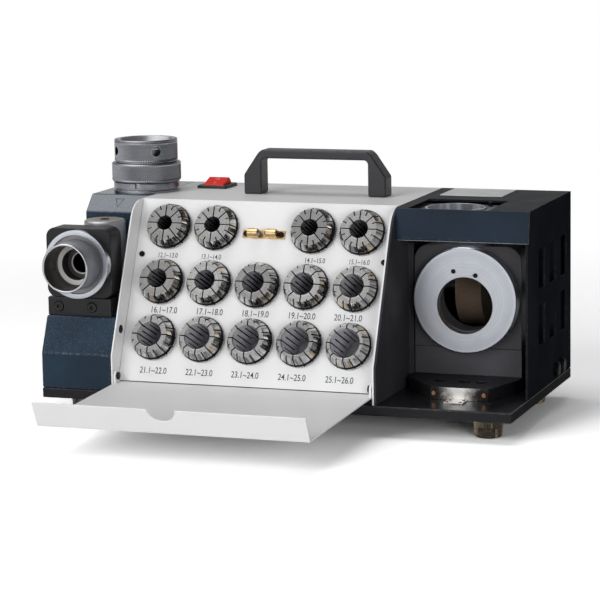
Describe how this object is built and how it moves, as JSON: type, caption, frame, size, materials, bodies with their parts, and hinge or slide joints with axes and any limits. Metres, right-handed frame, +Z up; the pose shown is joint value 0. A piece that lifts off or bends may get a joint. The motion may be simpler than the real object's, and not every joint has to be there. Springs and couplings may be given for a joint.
{
  "type": "drill bit grinder",
  "caption": "Bench drill bit grinder with a sloping collet rack behind a fold-down flap, chuck ports, a setting socket, a chuck and a carry handle.",
  "frame": {"origin": "on the floor under the middle of the outline, with the flap open as in the picture", "axes": "+Z up, -Y towards the operator, +X to the operator's right along the spindle"},
  "size_m": [0.4384, 0.3806, 0.2396],
  "materials": {
    "base_paint": "satin black paint",
    "rubber": "dark amber rubber",
    "steel": "zinc plated",
    "white_paint": "white powder coat",
    "black_screw": "black oxide",
    "collet_steel": "ground spring steel",
    "brass": "satin brass",
    "black_plastic": "moulded black plastic",
    "red_plastic": "gloss red",
    "cabinet_paint": "near-black paint",
    "blue_paint": "dark blue hammered paint",
    "label": "bare plate",
    "port_paint": "dark grey paint",
    "silver": "satin turned",
    "polished": "polished",
    "copper": "copper coloured",
    "black_metal": "black paint",
    "knurl": "satin knurl",
    "wheel": "bonded abrasive",
    "motor_paint": "dark grey"
  },
  "bodies": {
    "machine": {"base_plate": "base_paint", "feet": "rubber", "pan_screws": "steel", "collet_box": "white_paint", "collet_panel": "white_paint", "panel_screws": "black_screw", "catch_housing": "brass", "hinge_pins": "black_screw", "carry_handle": "black_plastic", "switch_bezel": "black_plastic", "cabinet_shell": "cabinet_paint", "cabinet_wall": "cabinet_paint", "header": "blue_paint", "label_plate": "label", "right_port_block": "port_paint", "right_port_foot": "port_paint", "foot_bolts": "black_screw", "right_port_ring": "silver", "locating_pins": "black_screw", "angle_strip": "polished", "strip_screws": "copper", "index_plate": "polished", "top_port_block": "port_paint", "top_port_bush": "polished", "left_housing": "blue_paint", "left_port_block": "black_metal", "left_port_base": "black_metal", "left_port_screws": "steel", "left_port_flange": "silver", "left_port_sleeve": "silver", "left_port_bush": "steel", "left_port_post": "black_metal", "setting_socket": "polished", "motor": "motor_paint", "side_fittings": "black_plastic"},
    "flap_body": {"flap": "white_paint", "flap_strike": "brass"},
    "rocker_body": {"switch_rocker": "red_plastic"},
    "drive": {"spindle": "steel", "right_wheel": "wheel", "left_wheel": "wheel", "wheel_nuts": "steel"},
    "chuck": {"chuck_body": "knurl"},
    "chuck_cap": {"chuck_nut": "knurl"},
    "ball_left": {"catch_ball_left": "steel"},
    "ball_right": {"catch_ball_right": "steel"},
    "collet_13_body": {"collet_13": "collet_steel"},
    "collet_14_body": {"collet_14": "collet_steel"},
    "collet_15_body": {"collet_15": "collet_steel"},
    "collet_16_body": {"collet_16": "collet_steel"},
    "collet_17_body": {"collet_17": "collet_steel"},
    "collet_18_body": {"collet_18": "collet_steel"},
    "collet_19_body": {"collet_19": "collet_steel"},
    "collet_20_body": {"collet_20": "collet_steel"},
    "collet_21_body": {"collet_21": "collet_steel"},
    "collet_22_body": {"collet_22": "collet_steel"},
    "collet_23_body": {"collet_23": "collet_steel"},
    "collet_24_body": {"collet_24": "collet_steel"},
    "collet_25_body": {"collet_25": "collet_steel"},
    "collet_26_body": {"collet_26": "collet_steel"}
  },
  "joints": [
    {"name": "flap_hinge", "type": "hinge", "parent": "machine", "child": "flap_body", "pos_m": [-0.02925, -0.01775, 0.0415], "axis": [1, 0, 0], "range_deg": [-115.5, 0]},
    {"name": "rocker_tip", "type": "hinge", "parent": "machine", "child": "rocker_body", "pos_m": [-0.1155, 0.15325, 0.189], "axis": [1, 0, 0], "range_deg": [-38, 0]},
    {"name": "spindle_spin", "type": "hinge", "parent": "machine", "child": "drive", "pos_m": [-0.02925, 0.13825, 0.1105], "axis": [1, 0, 0], "continuous": true},
    {"name": "chuck_lift", "type": "slide", "parent": "machine", "child": "chuck", "axis": [0, 0, 1], "range_m": [0, 0.06]},
    {"name": "chuck_nut_turn", "type": "hinge", "parent": "chuck", "child": "chuck_cap", "pos_m": [-0.17045, 0.11425, 0.231], "axis": [0, 0, 1], "continuous": true},
    {"name": "ball_left_give", "type": "slide", "parent": "machine", "child": "ball_left", "axis": [-1, 0, 0], "range_m": [0, 0.001], "stiffness_N_per_m": 400, "springref_m": -0.001},
    {"name": "ball_right_give", "type": "slide", "parent": "machine", "child": "ball_right", "axis": [1, 0, 0], "range_m": [0, 0.001], "stiffness_N_per_m": 400, "springref_m": -0.001},
    {"name": "collet_13_out", "type": "slide", "parent": "machine", "child": "collet_13_body", "axis": [0, -0.9135, 0.4067], "range_m": [0, 0.04]},
    {"name": "collet_14_out", "type": "slide", "parent": "machine", "child": "collet_14_body", "axis": [0, -0.9135, 0.4067], "range_m": [0, 0.04]},
    {"name": "collet_15_out", "type": "slide", "parent": "machine", "child": "collet_15_body", "axis": [0, -0.9135, 0.4067], "range_m": [0, 0.04]},
    {"name": "collet_16_out", "type": "slide", "parent": "machine", "child": "collet_16_body", "axis": [0, -0.9135, 0.4067], "range_m": [0, 0.04]},
    {"name": "collet_17_out", "type": "slide", "parent": "machine", "child": "collet_17_body", "axis": [0, -0.9135, 0.4067], "range_m": [0, 0.04]},
    {"name": "collet_18_out", "type": "slide", "parent": "machine", "child": "collet_18_body", "axis": [0, -0.9135, 0.4067], "range_m": [0, 0.04]},
    {"name": "collet_19_out", "type": "slide", "parent": "machine", "child": "collet_19_body", "axis": [0, -0.9135, 0.4067], "range_m": [0, 0.04]},
    {"name": "collet_20_out", "type": "slide", "parent": "machine", "child": "collet_20_body", "axis": [0, -0.9135, 0.4067], "range_m": [0, 0.04]},
    {"name": "collet_21_out", "type": "slide", "parent": "machine", "child": "collet_21_body", "axis": [0, -0.9135, 0.4067], "range_m": [0, 0.04]},
    {"name": "collet_22_out", "type": "slide", "parent": "machine", "child": "collet_22_body", "axis": [0, -0.9135, 0.4067], "range_m": [0, 0.04]},
    {"name": "collet_23_out", "type": "slide", "parent": "machine", "child": "collet_23_body", "axis": [0, -0.9135, 0.4067], "range_m": [0, 0.04]},
    {"name": "collet_24_out", "type": "slide", "parent": "machine", "child": "collet_24_body", "axis": [0, -0.9135, 0.4067], "range_m": [0, 0.04]},
    {"name": "collet_25_out", "type": "slide", "parent": "machine", "child": "collet_25_body", "axis": [0, -0.9135, 0.4067], "range_m": [0, 0.04]},
    {"name": "collet_26_out", "type": "slide", "parent": "machine", "child": "collet_26_body", "axis": [0, -0.9135, 0.4067], "range_m": [0, 0.04]}
  ]
}
